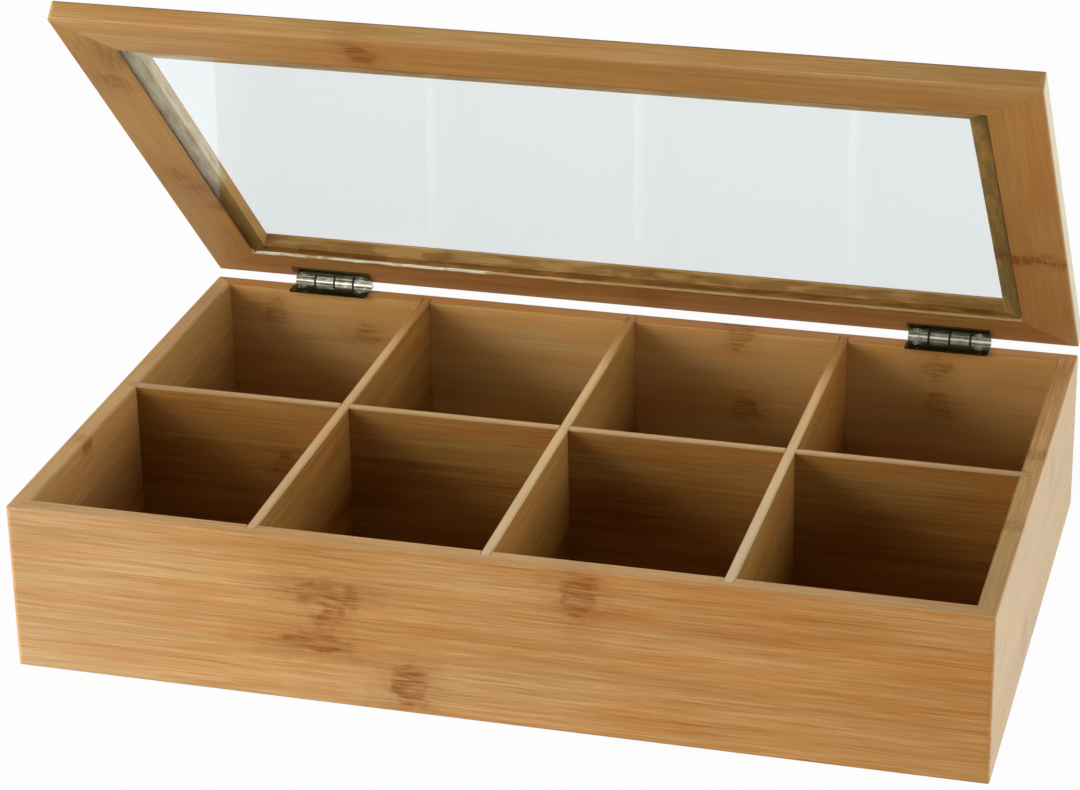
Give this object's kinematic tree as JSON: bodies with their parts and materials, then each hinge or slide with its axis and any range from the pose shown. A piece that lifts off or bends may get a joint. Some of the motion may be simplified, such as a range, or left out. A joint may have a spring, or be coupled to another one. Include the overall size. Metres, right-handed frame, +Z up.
{
  "type": "tea bag organizer box",
  "caption": "Shallow mitred bamboo box with a grid of open compartments and a hinged, glazed lid standing half open.",
  "frame": {"origin": "middle of the underside of the box", "axes": "+X to the right along the box, +Y from the front wall to the hinges, +Z up"},
  "size_m": [0.38, 0.2427, 0.2463],
  "materials": {
    "bamboo": "fine straight-grained bamboo, clear satin lacquer",
    "bottom_board": "thin bamboo board, clear satin lacquer",
    "pane": "clear, polished",
    "adhesive": "clear set adhesive",
    "hinge_steel": "bright nickel plate"
  },
  "bodies": {
    "box": {"front_wall": "bamboo", "back_wall": "bamboo", "left_wall": "bamboo", "right_wall": "bamboo", "bottom_panel": "bottom_board", "long_divider": "bamboo", "cross_divider_left": "bamboo", "cross_divider_middle": "bamboo", "cross_divider_right": "bamboo", "left_hinge_box_leaf": "hinge_steel", "left_hinge_pin": "hinge_steel", "left_hinge_box_screws": "hinge_steel", "right_hinge_box_leaf": "hinge_steel", "right_hinge_pin": "hinge_steel", "right_hinge_box_screws": "hinge_steel"},
    "lid": {"lid_front_rail": "bamboo", "lid_rear_rail": "bamboo", "lid_left_rail": "bamboo", "lid_right_rail": "bamboo", "lid_glass": "pane", "glass_bead": "adhesive", "left_hinge_lid_leaf": "hinge_steel", "left_hinge_lid_screws": "hinge_steel", "right_hinge_lid_leaf": "hinge_steel", "right_hinge_lid_screws": "hinge_steel"}
  },
  "joints": [
    {"name": "lid_hinge", "type": "hinge", "parent": "box", "child": "lid", "pos_m": [0, 0.1184, 0.0704], "axis": [-1, 0, 0], "range_deg": [-46.4, 137.2]}
  ]
}
